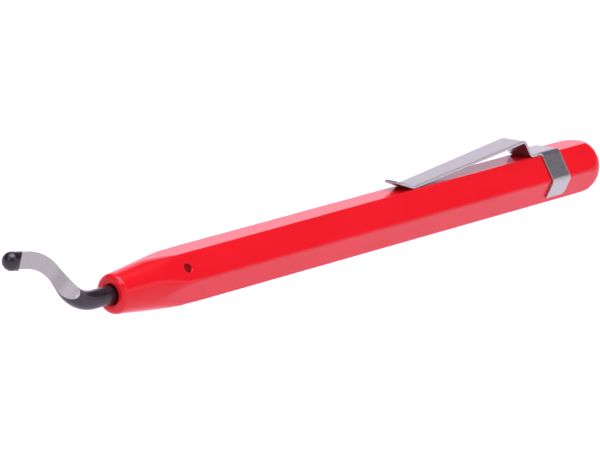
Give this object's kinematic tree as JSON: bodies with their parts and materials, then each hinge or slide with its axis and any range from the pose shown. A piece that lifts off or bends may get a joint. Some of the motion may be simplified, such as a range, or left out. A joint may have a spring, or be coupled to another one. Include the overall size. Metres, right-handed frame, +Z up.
{
  "type": "deburring tool",
  "caption": "Pen-type deburring tool: hexagonal handle with a turned nose, a domed tail and a pocket clip, and an S-shaped swivel blade with a ground flat.",
  "frame": {"origin": "centre of the lower flat that the handle rests on, halfway between the nose plane and the tail", "axes": "+X along the handle towards the domed tail, +Z up through the pocket clip; the blade leaves the nose towards -X with its ground flat facing -Y"},
  "size_m": [0.1477, 0.011, 0.016],
  "materials": {
    "red_lacquer": "glossy red lacquer over aluminium",
    "plug_lacquer": "dark red lacquer in the recess",
    "blade_steel": "black oxide on round wire, with a ground silver flat",
    "bearing_steel": "bright",
    "clip_steel": "bright brushed spring steel"
  },
  "bodies": {
    "handle": {"handle_body": "red_lacquer", "clip_band": "clip_steel", "detent_plug": "plug_lacquer", "detent_spring": "bearing_steel"},
    "blade": {"swivel_blade": "blade_steel"},
    "detent": {"detent_ball": "bearing_steel"},
    "clip": {"clip_arm": "clip_steel"}
  },
  "joints": [
    {"name": "blade_swivel", "type": "hinge", "parent": "handle", "child": "blade", "pos_m": [-0.062, 0, 0.0044], "axis": [1, 0, 0], "continuous": true},
    {"name": "detent_lift", "type": "slide", "parent": "handle", "child": "detent", "axis": [0, -0.866, 0.5], "range_m": [0, 0.00045], "stiffness_N_per_m": 3400, "springref_m": -0.0003, "deforming": ["detent_spring"]},
    {"name": "clip_flex", "type": "hinge", "parent": "handle", "child": "clip", "pos_m": [0.0436, 0, 0.0093], "axis": [0, 1, 0], "range_deg": [0, 5], "stiffness_Nm_per_rad": 1.1, "springref_deg": -1.15}
  ]
}
